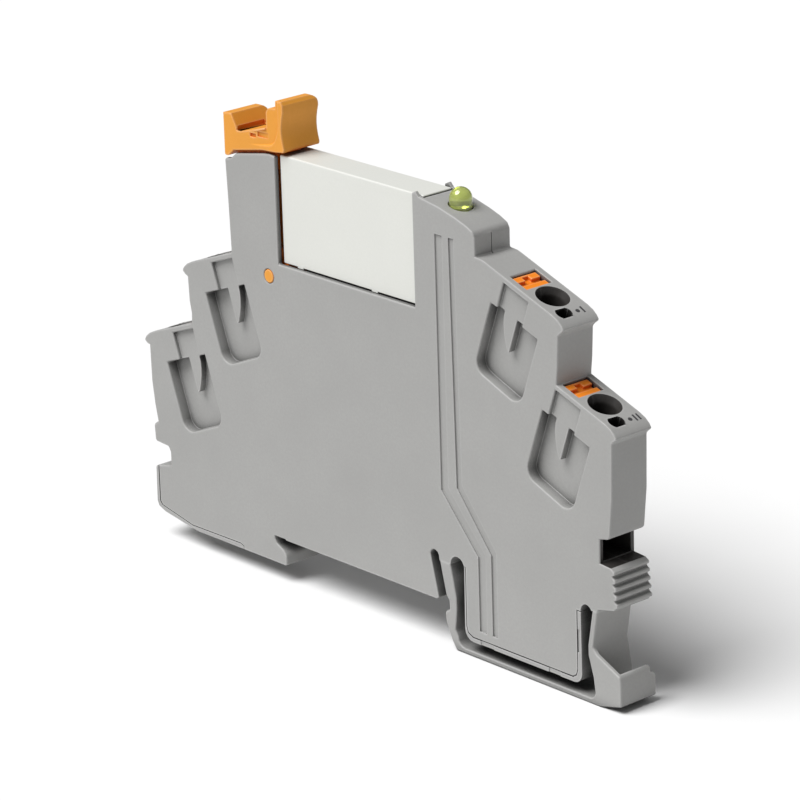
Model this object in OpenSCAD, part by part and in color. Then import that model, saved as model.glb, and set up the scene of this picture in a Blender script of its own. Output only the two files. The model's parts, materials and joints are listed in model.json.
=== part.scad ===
// Slim DIN-rail relay module: two-part housing, rail foot, push-in terminals,
// plug-in relay with its coil and contacts, and an ejector lever.
// +Z points away from the rail, X runs along the housing, Y across its width.
// The origin is on the rail seat, centred on the rail and on the width.

/* [Housing] */
// Width of the module across the rail
body_w = 6.2; // [6.2:0.1:6.4]
// Thickness of the two big side walls
side_wall = 0.7; // [0.6:0.05:0.8]
// Depth of the deep pocket beside each terminal
pocket_deep = 1.6; // [1.4:0.1:1.8]
// Depth of the shallow step above each pocket
pocket_shallow = 0.6; // [0.4:0.1:0.6]
// Depth of the two line grooves on the side wall
groove_deep = 0.25; // [0.15:0.05:0.35]

/* [Terminals] */
// Slope of the terraces that carry the terminals
slope = 19.6; // [18:0.2:21]
// Radius of the conductor entry bore
entry_r = 1.7; // [1.4:0.1:1.8]
// Radius of the funnel at the mouth of the entry
funnel_r = 2.25; // [2.1:0.05:2.3]
// Travel of a release button
button_travel = 1.2; // [0.8:0.1:1.3]
// Thickness of the terminal spring strip
spring_t = 0.35; // [0.25:0.05:0.4]
// Thickness of the current bars
bar_t = 0.5; // [0.4:0.05:0.6]

/* [Relay] */
// Length of the plug-in relay
relay_l = 28; // [27.6:0.1:28]
// Width of the plug-in relay
relay_w = 5; // [4.8:0.1:5]
// Height of the relay's top above the rail seat
relay_top = 54.2; // [53.8:0.1:54.3]
// Height of the relay's underside above the rail seat
relay_foot = 39.4; // [39.4:0.1:39.6]
// Thickness of the relay case
case_wall = 0.4; // [0.3:0.05:0.4]

/* [Lever] */
// Radius of the pin the ejector lever turns on
pin_r = 0.93; // [0.8:0.01:1]
// Radial clearance of the pin in its holes
pin_gap = 0.05; // [0.02:0.01:0.1]

/* [Hidden] */

$fn = 48;
half = body_w / 2;
inner = half - side_wall;
split = -0.1;
eps = 0.02;
joint_gap = 0.05;

// Terminals: entry centre on its terrace, and the side it faces
T13 = [-29.85, 36.7, -1];
T14 = [-38.95, 24.75, -1];
TA1 = [34.8, 44.85, 1];
TA2 = [43.8, 32.85, 1];
TERMINALS = [T13, T14, TA1, TA2];

// Button: its head, its stem and the rib (key) that guides it in the pocket's wall
button_in = -5.5;
button_out = -2.65;
button_half_y = 2.05;
button_sink = 0.3;
button_gap = 0.1;
head_bottom = 2.4;
stem_s = [-4.9, -2.8];
stem_bottom = 8;
key_s = [-4.1, -3.05];
key_bottom = 7.6;
valley_s = [-4.4, -3.65];
notch_s = [-5.15, -4.3];
notch_half = 0.5;
valley_depth = 0.5;

// Conductor entry and test point, in depths below the terrace
funnel_h = 1.2;
entry_end = 4.3;
test_s = [2.55, 4.25];
test_y = -1.15;
test_r = 1.12;
test_end = 3.6;

// Deep pocket, in slope and depth distances from the entry centre
pocket_s = [-6.95, 1.9];
pocket_d = [4.5, 14.7];
shallow_s = [-5.75, -1.05];
shallow_d = 0.7;
pocket_corner = 1.9;
inner_corner = 1.75;
inner_lift = 0.2;
pocket_wall = 1;
pocket_y = -half + pocket_deep;

// Tongue that stays up in the pocket: straight outer side, bowed inner side, blunt tip
tongue_side = [[-4.85, 3.5], [-4.85, 5.3], [-4.6, 6.3], [-4.2, 7.3], [-3.65, 8.3], [-3.05, 9.2],
    [-2.75, 9.45], [-2.5, 9.45], [-2.5, 3.5]];

// Width range of the button's guide rib, which slides in a well behind the pocket's floor
key_y = [pocket_y + 0.4, pocket_y + 1.5];
strip_y = [pocket_y + pocket_wall + 0.15, 2.2];

// Main levels and stations of the housing
bay_floor = 39.15;
room_top = 38.2;
bay_l = -14.45;
bay_r = 12.45;
bay_end = 14.3;
pivot = [-16.55, 37.1];
clear_top = 56;
rail_edge_z = -2.3;
hook_relief = 0.15;
stub_z = 5.55;
leg_z = 6.45;

// Relay pins, from the contact end to the coil end, and the sockets that take them
pin_com = -12.1;
pin_no = -7.06;
pin_coil_in = 8.3;
pin_coil_out = 12.1;
pin_tip = 35.9;
pin_t = 0.4;
pin_y = 1;
socket_top = 37.8;
socket_bottom = 34.5;
pin_slot = [0.75, 1.2];
fork_half = 0.65;
leaf_t = 0.4;
coil_solder_z = 32.6;
solder_r = 0.24;
solder_proud = 0.15;

// Circuit board
board_y = [-2.2, -1.2];

// Lamp
lamp_x = 18.3;
lamp_r = 1.5;
lamp_top = 55.7;
lamp_seat = 50.2;
lamp_rim_r = 1.75;

// Base and contacts of the relay
base_top = 40.9;
blade_foot = [41.05, 41.35];
blade_top = 50.6;
contact_z = 49;
contact_r = 0.8;
contact_t = 0.35;

// Magnet system of the relay
coil_z = 46.5;
core_half = [0.6, 1.5];
core_fit = 0.02;
tube_half = [1, 2];
flange_half = [2, 4.3];
flange_t = 0.6;

// ---------- helpers ----------

// Points of an arc in the X-Z plane
function arc(c, r, from, to, n) =
    [for (i = [0:n]) let (a = from + (to - from) * i / n) [c[0] + r * cos(a), c[1] + r * sin(a)]];

// A place given by its slope distance s and its depth d below a terrace
function at(t, s, d) =
    [t[0] + t[2] * (s * cos(slope) - d * sin(slope)), t[1] - s * sin(slope) - d * cos(slope)];

function reversed(list) = [for (i = [len(list) - 1:-1:0]) list[i]];

// Edge of a terrace's lip, from its inner end to under the lip
function lip(t) = [for (p = [[3.2, 0], [4.3, 0.12], [5.1, 0.42], [5.55, 0.75], [5.55, 1], [5.25, 1.45]])
    at(t, p[0], p[1])];

// Rectangle in slope and depth distances
function patch(t, s, d) = [at(t, s[0], d[0]), at(t, s[1], d[0]), at(t, s[1], d[1]), at(t, s[0], d[1])];

// Unit normal of the stretch from a to b
function normal(a, b) = let (v = b - a) [-v[1], v[0]] / norm(v);

// Mitred offset of a bent strip's middle line to one side
function miter(p, i) =
    i == 0 ? normal(p[0], p[1]) :
    i == len(p) - 1 ? normal(p[i - 1], p[i]) :
    let (n1 = normal(p[i - 1], p[i]), n2 = normal(p[i], p[i + 1])) (n1 + n2) / (1 + n1 * n2);

function strip_outline(p, t) = concat(
    [for (i = [0:len(p) - 1]) p[i] + miter(p, i) * t / 2],
    [for (i = [len(p) - 1:-1:0]) p[i] - miter(p, i) * t / 2]);

// A flat shape drawn in X-Z that stands between two Y faces
module slab(points, y0, y1) {
    translate([0, y1, 0])
        rotate([90, 0, 0])
            linear_extrude(y1 - y0)
                polygon(points);
}

// A box from its X, Y and Z ranges
module box(x, y, z) {
    translate([x[0], y[0], z[0]])
        cube([x[1] - x[0], y[1] - y[0], z[1] - z[0]]);
}

// A round bar across the width
module rod_y(x, z, r, y0, y1) {
    translate([x, y1, z])
        rotate([90, 0, 0])
            cylinder(r = r, h = y1 - y0);
}

// Children drawn with X along a terrace and Z out of it
module on_terrace(t) {
    translate([t[0], 0, t[1]]) {
        if (t[2] > 0)
            rotate([0, slope, 0]) children();
        else
            mirror([1, 0, 0]) rotate([0, slope, 0]) children();
    }
}

// A bent strip of sheet metal
module strip(points, t, y0, y1) {
    slab(strip_outline(points, t), y0, y1);
}

// ---------- housing outline ----------

// Five finger ribs above the foot
rib_n = 5;
rib_pitch = 1.07;
function ribs() = [for (i = [0:rib_n - 1], p = [[0.1, 0.15], [0.55, 0.4], [0.55, 0.75], [0.1, 1]])
    [48.1 - 0.12 * i + p[0], 7.55 + rib_pitch * i + p[1]]];

rail_edge = concat(
    [[-17.55, hook_relief], [-15.25, hook_relief], [-15.1, 0], [15.2, 0], [15.5, 0.3]],
    arc([14.87, 5.95], 0.82, 170, 20, 6),
    [[15.75, stub_z], [17.95, stub_z]],
    arc([19.25, 5.6], 1.3, 178, 0, 8),
    [[20.45, -2.2]],
    arc([22, -2.6], 1.55, 180, 270, 4),
    arc([40.75, -2.75], 1.4, 270, 360, 4),
    arc([43.07, 5.95], 1, 178, 20, 6),
    [[44.1, leg_z], [45.05, leg_z], [45.25, 6.85], [48.1, 7.45]]);

coil_end = concat(
    ribs(),
    [[47.5, 12.95], [45.6, 13.1], [45.6, 16.3], [47.1, 16.65], [47.4, 17], [47.9, 22.2], [48, 29.4]],
    reversed(lip(TA2)),
    [at(TA2, -5.75, 0), [38.4, 35.3], [38.6, 37.25], [38.8, 41.3]],
    reversed(lip(TA1)),
    [at(TA1, -9.3, 0), [25.3, 48.2], [24, 48.3], [24, 50.8], [23.6, 51.5], [22.3, 52.1], [20.3, 52.75],
     [17.4, 53.5], [13.7, 54.1], [13.15, 54.7], [bay_r, 54.35], [bay_r, bay_floor]]);

contact_end = concat(
    [[bay_l, bay_floor], [bay_l, 53.95], [-15.6, 54.05], [-16.85, 53.9], [-22.45, 52.85], [-23.55, 52],
     [-24.7, 51.8], [-24.4, 45.3], [-24.2, 39.2], at(T13, -5.9, 0)],
    lip(T13),
    [[-33.85, 33.4], [-33.7, 30], [-33.35, 28.2], [-33.4, 27.2], at(T14, -5.7, 0)],
    lip(T14),
    [[-42.95, 21.6], [-42.85, 16.4], [-42.4, 13], [-41.9, 10.6], [-42.8, 10.1], [-42.65, 7.75],
     [-42.35, 7.55], [-39.9, 7.4], [-39.45, 6.65], [-39.5, 4.6], [-42.6, 3.95], [-42.9, 3.6], [-43, -1.35],
     [-42.7, -2.05], [-41.3, -2.6], [-35.4, -3.55], [-33.9, -3.7],
     [-15.2, -3.7], [-15.15, -2.25], [-15.85, -1.55],
     [-17.2, -0.9], [-17.55, -0.35]]);

outline = concat(rail_edge, coil_end, contact_end);

// The body's rim that shows along the foot of the cover, at each end
rim_left = [[-43.2, 4.1], [-42.25, 4.05], [-42.25, -1.2], [-41.9, -1.7], [-35.2, -3.05], [-24.8, -2.95],
    [-24.2, -3.2], [-24.2, -4], [-43.2, -4]];
rim_right = [[20, 5.9], [20.8, 5.9], [20.8, -2.2], [21.1, -3.1], [21.95, -3.5], [40.5, -3.5], [41.15, -3.1],
    [41.4, -2.3], [41.4, 5.75], [43, 5.75], [43, -5], [20, -5]];

// ---------- rooms inside the housing ----------

main_room = [[-38.5, -2.2], [-18.6, -2.2], [-18.6, 1], [12.6, 1], [12.6, 8.2], [21.9, 8.2], [21.9, -2.7],
    [40.4, -2.7], [40.4, 12], [36.8, 12.6], [36.8, 17], [34.2, 21], [33.5, 25], [31, 30], [23.2, 36.5],
    [23.2, room_top], [-19.5, room_top], [-19.5, 30], [-31.6, 23], [-38.5, 8.5]];
board_room = [[15, room_top - 1], [23.2, room_top - 1], [23.2, 47.5], [22.4, 51.2], [19.9, 52], [15, 52.8]];
window_room = [[38.4, 13.3], [49, 13.3], [49, 16.1], [38.4, 16.1]];

module rooms() {
    slab(main_room, -inner, inner);
    slab(board_room, -inner, inner);
    slab(window_room, -inner, inner);
    for (t = TERMINALS)
        slab(patch(t, [-6.4, 4.5], [4.1, 14.2]), pocket_y + pocket_wall, inner);
    // Relay bay behind the skins that reach over the relay's coil end
    box([bay_r - 1, bay_end], [-relay_w / 2 - 0.1, relay_w / 2 + 0.1], [bay_floor, clear_top]);
    // Lever shaft between the cheeks of the contact-side tower
    slab([[-19.3, 34], [-13.9, 34], [-13.9, clear_top], [-26, clear_top], [-26, 44.6], [-23.4, 43],
        [-19.3, 37]], -inner, inner);
}

// Entry funnel, conductor bore, test point and button window of one terminal
module terminal_openings(t) {
    on_terrace(t) {
        translate([0, 0, -funnel_h]) cylinder(r1 = entry_r, r2 = funnel_r, h = funnel_h);
        translate([0, 0, -eps]) cylinder(r = funnel_r, h = 3);
        translate([0, 0, -entry_end]) cylinder(r = entry_r, h = entry_end - funnel_h + 0.1);
        intersection() {
            translate([(test_s[0] + test_s[1]) / 2, test_y, -test_end])
                cylinder(r = test_r, h = test_end + 1);
            box(test_s, [-half, half], [-test_end, 1]);
        }
        // Window the button slides in, and the well of its key
        box([button_in - button_gap, button_out + button_gap],
            [-button_half_y - button_gap, button_half_y + button_gap], [-entry_end, 1]);
        box([key_s[0] - button_gap, key_s[1] + button_gap], [key_y[0] - 0.1, key_y[1]],
            [-key_bottom - button_travel - 0.15, 0.35 - entry_end]);
    }
}

// Shallow step, deep pocket and tongue pressed into the side wall by a terminal
module pocket(t) {
    round_s = pocket_s[1] - pocket_corner;
    round_d = pocket_d[1] - pocket_corner;
    inner_s = pocket_s[0] + inner_corner;
    inner_d = pocket_d[1] - inner_lift - inner_corner;
    deep = concat(
        [at(t, pocket_s[0], pocket_d[0]), at(t, pocket_s[1], pocket_d[0])],
        [for (a = [0:15:90]) at(t, round_s + pocket_corner * cos(a), round_d + pocket_corner * sin(a))],
        [for (a = [90:15:180]) at(t, inner_s + inner_corner * cos(a), inner_d + inner_corner * sin(a))]);
    tongue = [for (p = tongue_side) at(t, p[0], p[1])];
    slab(patch(t, shallow_s, [shallow_d, pocket_d[0] + 0.5]), -half - 1, -half + pocket_shallow);
    difference() {
        slab(deep, -half - 1, pocket_y);
        slab(tongue, -half + pocket_shallow, half);
    }
}

// Material kept behind each deep pocket
module pocket_backs() {
    for (t = TERMINALS)
        slab(patch(t, [pocket_s[0] - 0.65, pocket_s[1] + 0.7], [3.9, pocket_d[1] + 0.7]),
            -inner - eps, pocket_y + pocket_wall);
}

// Two parallel line grooves from the lamp tower down to the foot
module grooves() {
    for (g = [[16.55, 16.55, 15.4, 23.3, 7.9, 1.3], [19.1, 19.55, 16.4, 25.75, 8.8, 0.9]])
        slab([[g[0], 49.8], [g[1], g[2]], [g[3], g[4]], [g[3], rail_edge_z], [g[3] + g[5], rail_edge_z],
            [g[3] + g[5], g[4] + 0.6], [g[1] + g[5], g[2] + 0.6], [g[0] + g[5], 49.8]],
            -half - 1, -half + groove_deep);
}

// Slots in the floor of the relay bay for the pins, and its open end over the lever's prongs
module deck_openings() {
    for (x = [pin_no, pin_coil_in, pin_coil_out])
        box([x - pin_slot[0], x + pin_slot[0]], [-pin_slot[1], pin_slot[1]], [room_top - 1, bay_floor + 1]);
    box([-14.6, -9.8], [-inner, inner], [room_top - 1, bay_floor + 1]);
}

module lever_hole() {
    rod_y(pivot[0], pivot[1], pin_r + pin_gap, -half - 1, half + 1);
}

module lamp_hole() {
    translate([lamp_x, 0, 50]) cylinder(r = lamp_r + 0.1, h = clear_top - 50);
}

module housing_body() {
    color([0.69, 0.69, 0.68])
    difference() {
        union() {
            difference() {
                slab(outline, split, half);
                rooms();
            }
            intersection() {
                slab(outline, -half, split + eps);
                union() {
                    slab(rim_left, -half, split + eps);
                    slab(rim_right, -half, split + eps);
                }
            }
        }
        for (t = TERMINALS)
            terminal_openings(t);
        deck_openings();
        lever_hole();
        lamp_hole();
    }
}

module housing_cover() {
    color([0.69, 0.69, 0.68])
    difference() {
        union() {
            difference() {
                slab(outline, -half, split - joint_gap);
                rooms();
            }
            pocket_backs();
        }
        for (t = TERMINALS) {
            terminal_openings(t);
            pocket(t);
        }
        grooves();
        deck_openings();
        lever_hole();
        lamp_hole();
        for (r = [rim_left, rim_right])
            slab(r, -half - 1, split + 1);
    }
}

// ---------- rail foot ----------

foot_outline = concat(
    [[15.85, stub_z - joint_gap], [16.95, 1], [17.45, 0.45], [17.55, -0.85], [16.65, -1.25], [16.8, -2.5],
     [17.85, -5], [18.7, -6.2], [45.3, -6.25], [49.05, -5.3], [49.05, -1.95], [48.85, -1.25], [44.75, 0.65],
     [44.15, 1.45], [45, leg_z - joint_gap], [44.15, leg_z - joint_gap], [43.3, 1.6], [43.3, 0.25],
     [44.15, -2.5]],
    arc([43.45, -4.5], 1, 0, -80, 4),
    arc([20.35, -4.2], 1.3, 270, 180, 4),
    [[18.55, -3.5], [18.9, -0.55], [18.85, 1.1], [18.35, 3.5], [17.85, stub_z - joint_gap]]);

// Channel between the leg and the foot's upstand, behind a thin gusset
foot_channel = [[44.15, 1.45], [45.05, -3.3], [45.4, -4.6], [45.8, -4.9], [47.8, -4.55], [48.3, -3.9],
    [48.3, 2], [44.9, 2]];
gusset_t = 0.6;
upstand_x = [47, 50];
upstand_top = -1.95;
upstand_round = 0.9;

module foot_latch() {
    color([0.69, 0.69, 0.68])
    difference() {
        slab(foot_outline, -half, half);
        slab(foot_channel, -half + gusset_t, half + 1);
        difference() {
            box(upstand_x, [half - upstand_round, half + 1], [upstand_top - upstand_round, 0]);
            translate([upstand_x[0] - 1, half - upstand_round, upstand_top - upstand_round])
                rotate([0, 90, 0])
                    cylinder(r = upstand_round, h = upstand_x[1] - upstand_x[0] + 2);
        }
    }
}

// ---------- ejector lever ----------

// Concave thumb face on the relay side of the lever's head
thumb = [for (i = [0:6]) [-12.4 - 0.45 * sin(180 * i / 6), 55.2 + 4.9 * i / 6]];

head_outline = concat(
    [[-24.8, 52.25], [-23.85, 52.25], [-22.85, 53.2], [-16.9, 54.35], [-14.4, 54.5], [-12.5, 54.75]],
    thumb,
    [[-12.4, 61.1], [-12.75, 61.6], [-14.35, 61.4], [-14.4, 60.3], [-15.2, 60.25], [-15.7, 60.2],
     [-16.1, 59.7], [-16.1, 57.5], [-21.2, 56.1], [-22, 56.1], [-22, 56.5], [-23, 58.25], [-24.8, 58.05]]);

hub_r = 2.1;
hub_top = 41;
hub_half = 1.9;
arm_half = 1.3;
prong_in = 1.1;
hub_round = arc(pivot, hub_r, 150, 250, 5);
arm_outline = concat(
    [[-22.6, 53.6], [-18.9, 49.5], [-18.3, 46]],
    hub_round,
    [[-14.9, 35.9], [-14.9, 54.7], [-18, 55.5]]);
hub_outline = concat([[-18.35, hub_top]], hub_round, [[-14.9, 35.9], [-14.9, hub_top]]);

module ejector_lever() {
    color([0.93, 0.55, 0.15])
    union() {
        slab(head_outline, -half, half);
        slab(arm_outline, -arm_half, arm_half);
        slab(hub_outline, -hub_half, hub_half);
        rod_y(pivot[0], pivot[1], pin_r, -half, half);
        // Two prongs under the relay, one on each side of its end pin
        for (y = [[-hub_half, -prong_in], [prong_in, hub_half]])
            slab([[-15, 36.2], [-10.9, 38.4], [-10.6, 39], [-15, 39]], y[0], y[1]);
    }
}

// ---------- terminals ----------

module release_button(t) {
    color([0.93, 0.5, 0.12])
    on_terrace(t) {
        difference() {
            box([button_in, button_out], [-button_half_y, button_half_y], [-head_bottom, -button_sink]);
            // Screwdriver valley across the head, and a notch in the bar on its inner side
            box(valley_s, [-half, half], [-button_sink - valley_depth, 1]);
            box(notch_s, [-notch_half, notch_half], [-button_sink - valley_depth, 1]);
        }
        box(stem_s, [strip_y[0] - 0.05, strip_y[0] + 1.95], [-stem_bottom, 0.1 - head_bottom]);
        box(key_s, key_y, [-key_bottom, 0.1 - head_bottom]);
    }
}

// Bent leaf that presses the conductor against its current bar
function spring_line(t) = [for (p = concat(
    [[-5.75, 12.6]],
    [for (a = [180:-30:60]) [-4.55 + 1.2 * cos(a), 9.6 - 1.2 * sin(a)]],
    [[1.1, 11.9]])) at(t, p[0], p[1])];

module clamp_spring(t) {
    color([0.75, 0.76, 0.78])
    strip(spring_line(t), spring_t, strip_y[0], strip_y[1]);
}

// Part of each current bar inside its terminal
function bar_line(t) = [at(t, 2.3, 5), at(t, 2.3, 13.3), at(t, -6.8, 13.3)];

module socket_fork(x) {
    box([x - fork_half, x - fork_half + leaf_t], [-1, 1], [socket_bottom, socket_top]);
    box([x + fork_half - leaf_t, x + fork_half], [-1, 1], [socket_bottom, socket_top]);
    box([x - fork_half, x + fork_half], [-1, 1], [socket_bottom, socket_bottom + leaf_t]);
}

module current_bar(t, route) {
    color([0.72, 0.55, 0.3])
    strip(concat(bar_line(t), route), bar_t, strip_y[0], strip_y[1]);
}

module current_bar_13() {
    current_bar(T13, [[-17.5, 30.5], [pin_com, 32], [pin_com, socket_bottom + 0.1]]);
    color([0.72, 0.55, 0.3]) socket_fork(pin_com);
}

module current_bar_14() {
    current_bar(T14, [[-26, 14.5], [pin_no, 14.5], [pin_no, socket_bottom + 0.1]]);
    color([0.72, 0.55, 0.3]) socket_fork(pin_no);
}

// Places of the bars' solder pins on the board
bar_solder_a1 = [21.7, 33.4];
bar_solder_a2 = [21.7, 20];

// Round pin through the board, up to the strip that it carries
module solder_pin(place, top) {
    color([0.72, 0.55, 0.3])
    rod_y(place[0], place[1], solder_r, board_y[0] - solder_proud, top);
}

// The coil side bars end in a solder pin through the board
module current_bar_a1() {
    current_bar(TA1, [[22.2, bar_solder_a1[1]], [21.4, bar_solder_a1[1]]]);
    solder_pin(bar_solder_a1, strip_y[0] + 0.2);
}

module current_bar_a2() {
    current_bar(TA2, [[30, bar_solder_a2[1]], [22, bar_solder_a2[1]], [21.4, bar_solder_a2[1]]]);
    solder_pin(bar_solder_a2, strip_y[0] + 0.2);
}

// ---------- circuit board ----------

solder_holes = [bar_solder_a1, bar_solder_a2, [pin_coil_in, coil_solder_z], [pin_coil_out, coil_solder_z]];

module circuit_board() {
    color([0.1, 0.42, 0.25])
    difference() {
        slab([[4, 10], [22.4, 10], [22.4, 49.6], [15.4, 49.6], [15.4, 36.8], [13.4, 34], [4, 34]],
            board_y[0], board_y[1]);
        for (p = solder_holes)
            rod_y(p[0], p[1], solder_r + 0.06, board_y[0] - 1, board_y[1] + 1);
    }
}

module coil_socket(x) {
    color([0.72, 0.55, 0.3]) {
        socket_fork(x);
        box([x - 0.2, x + 0.2], [-0.9, 0.9], [32.2, socket_bottom + 0.1]);
        solder_pin([x, coil_solder_z], -0.8);
    }
}

module coil_socket_inner() {
    coil_socket(pin_coil_in);
}

module coil_socket_outer() {
    coil_socket(pin_coil_out);
}

module series_resistor() {
    color([0.15, 0.15, 0.16])
    translate([17, board_y[1], 26]) cube([3.1, 0.6, 1.6]);
}

module rectifier_diode() {
    color([0.12, 0.12, 0.12])
    translate([10, board_y[1], 24]) cube([4.6, 2.1, 2.6]);
}

module smoothing_capacitor() {
    color([0.2, 0.25, 0.4])
    translate([8.5, board_y[1] + 1.6, 15]) cylinder(r = 1.6, h = 6);
}

module status_lamp() {
    color([0.78, 0.82, 0.3])
    translate([lamp_x, 0, 0]) {
        translate([0, 0, lamp_top - lamp_r]) sphere(r = lamp_r);
        translate([0, 0, 51]) cylinder(r = lamp_r, h = lamp_top - lamp_r - 51);
        translate([0, 0, lamp_seat]) cylinder(r = lamp_rim_r, h = 0.85);
    }
}

module lamp_leads() {
    color([0.8, 0.8, 0.82])
    for (x = [lamp_x - 1.27, lamp_x + 0.77]) {
        box([x, x + 0.5], [-0.25, 0.25], [47.4, lamp_seat]);
        box([x, x + 0.5], [board_y[1], 0.25], [46.9, 47.4]);
    }
}

// ---------- plug-in relay ----------

half_l = relay_l / 2;
half_relay = relay_w / 2;

// Length and height of the two feet under the case
standoff = [1.2, 0.2];

module relay_case() {
    color([0.92, 0.93, 0.91])
    difference() {
        union() {
            box([-half_l, half_l], [-half_relay, half_relay], [relay_foot, relay_top]);
            for (x = [-11.2, 3.5])
                box([x, x + standoff[0]], [-half_relay, -half_relay + case_wall],
                    [relay_foot - standoff[1], relay_foot + 0.5]);
        }
        box([case_wall - half_l, half_l - case_wall], [case_wall - half_relay, half_relay - case_wall],
            [relay_foot - 1, relay_top - case_wall]);
    }
}

module relay_base() {
    fit = 0.02;
    edge = case_wall + fit;
    color([0.2, 0.2, 0.22])
    difference() {
        box([edge - half_l, half_l - edge], [edge - half_relay, half_relay - edge],
            [relay_foot + joint_gap, base_top]);
        for (x = [pin_com, pin_no, pin_coil_in, pin_coil_out])
            box([x - pin_t / 2 - fit, x + pin_t / 2 + fit], [-pin_y / 2 - fit, pin_y / 2 + fit],
                [relay_foot - 1, base_top + 1]);
    }
}

module relay_pin(x, top) {
    box([x - pin_t / 2, x + pin_t / 2], [-pin_y / 2, pin_y / 2], [pin_tip, top]);
}

module coil_pin_inner() {
    color([0.8, 0.78, 0.7]) relay_pin(pin_coil_in, 42.2);
}

module coil_pin_outer() {
    color([0.8, 0.78, 0.7]) relay_pin(pin_coil_out, 42.2);
}

blade_x = -8.35;

// Common pin, a foot over the base and the bending blade with its contact
module moving_contact() {
    color([0.78, 0.6, 0.35]) {
        relay_pin(pin_com, blade_foot[1] - 0.05);
        box([pin_com - pin_t / 2, blade_x], [-1.2, 1.2], blade_foot);
        box([blade_x - 0.25, blade_x], [-1.7, 0.9], [blade_foot[0], blade_top]);
        translate([blade_x, 0, contact_z]) rotate([0, 90, 0]) cylinder(r = contact_r, h = contact_t);
    }
}

module fixed_contact() {
    color([0.78, 0.6, 0.35]) {
        relay_pin(pin_no, blade_foot[1] - 0.05);
        box([pin_no - pin_t / 2, pin_no + pin_t / 2], [-1.7, 0.8], [blade_foot[0], blade_top]);
        translate([pin_no - pin_t / 2 - contact_t, 0, contact_z])
            rotate([0, 90, 0])
                cylinder(r = contact_r, h = contact_t + 0.01);
    }
}

bobbin_x = [-1.4, 11.6];

// Bar along the coil's axis, from its X range and its half sizes in Y and Z
module coil_bar(x, h) {
    box(x, [-h[0], h[0]], [coil_z - h[1], coil_z + h[1]]);
}

module coil_bobbin() {
    color([0.25, 0.25, 0.27])
    difference() {
        union() {
            for (x = [bobbin_x[0], bobbin_x[1] - flange_t])
                coil_bar([x, x + flange_t], flange_half);
            coil_bar(bobbin_x, tube_half);
        }
        coil_bar([bobbin_x[0] - 1, bobbin_x[1] + 1], core_half + [core_fit, core_fit]);
    }
}

// Corners of a quarter of the winding's section, turned into all four
winding_corners = [[1.9, 2.8], [1, 3.9]];
winding_end = 0.65;

module coil_winding() {
    a = winding_corners[0];
    b = winding_corners[1];
    color([0.65, 0.32, 0.15])
    difference() {
        translate([bobbin_x[0] + winding_end, 0, coil_z])
            rotate([90, 0, 90])
                linear_extrude(bobbin_x[1] - bobbin_x[0] - 2 * winding_end)
                    polygon([[-a[0], -a[1]], [-b[0], -b[1]], [b[0], -b[1]], [a[0], -a[1]],
                        a, b, [-b[0], b[1]], [-a[0], a[1]]]);
        coil_bar([bobbin_x[0] - 1, bobbin_x[1] + 1], tube_half + [0.03, 0.03]);
    }
}

module coil_core() {
    color([0.55, 0.56, 0.58])
    coil_bar([-2.4, 12.1], core_half);
}

module magnet_yoke() {
    color([0.55, 0.56, 0.58])
    difference() {
        slab([[-2.5, 51.3], [12.1, 51.3], [12.1, 43.5], [13, 43.5], [13, 52.3], [-2.5, 52.3]], -1.8, 1.8);
        coil_bar([0, 20], core_half + [core_fit, core_fit]);
    }
}

module armature() {
    color([0.55, 0.56, 0.58])
    slab([[-3.9, 43.2], [-2.95, 43.2], [-2.95, 51.6], [-2.75, 52.3], [-3.9, 52.3]], -1.7, 1.7);
}

module armature_spring() {
    color([0.75, 0.76, 0.78])
    strip([[2.6, 52.5], [-4.05, 52.5], [-4.25, 52.2], [-4.2, 49.4]], 0.2, -0.9, 0.9);
}

// Slide that carries the armature's stroke to the moving contact
module actuator_card() {
    color([0.85, 0.85, 0.8])
    union() {
        box([-9.15, -4.1], [1.05, 1.75], [43.1, 44.4]);
        box([-9.15, -8.75], [-0.9, 1.75], [43.1, 44.4]);
        box([-4.8, -2], [-0.9, 1.75], [42.5, 43]);
        box([-4.8, -4.1], [-0.9, 1.75], [42.5, 44.4]);
        box([-2.75, -2], [-0.9, 1.75], [42.5, 43.9]);
    }
}

housing_body();
housing_cover();
foot_latch();
ejector_lever();
release_button(T13);  // button_13
release_button(T14);  // button_14
release_button(TA1);  // button_a1
release_button(TA2);  // button_a2
clamp_spring(T13);  // clamp_spring_13
clamp_spring(T14);  // clamp_spring_14
clamp_spring(TA1);  // clamp_spring_a1
clamp_spring(TA2);  // clamp_spring_a2
current_bar_13();
current_bar_14();
current_bar_a1();
current_bar_a2();
coil_socket_inner();
coil_socket_outer();
circuit_board();
series_resistor();
rectifier_diode();
smoothing_capacitor();
status_lamp();
lamp_leads();
relay_case();
relay_base();
coil_pin_inner();
coil_pin_outer();
moving_contact();
fixed_contact();
coil_bobbin();
coil_winding();
coil_core();
magnet_yoke();
armature();
armature_spring();
actuator_card();
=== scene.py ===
"""Looks of the slim relay module: refined mouldings, detail pieces, materials, light and camera.

The CAD frame holds every size and joint. Here its mouldings get rounded edges, moulded detail and finishes.
"""

import json
import math

import bmesh
import bpy
from mathutils import Matrix, Vector


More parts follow.
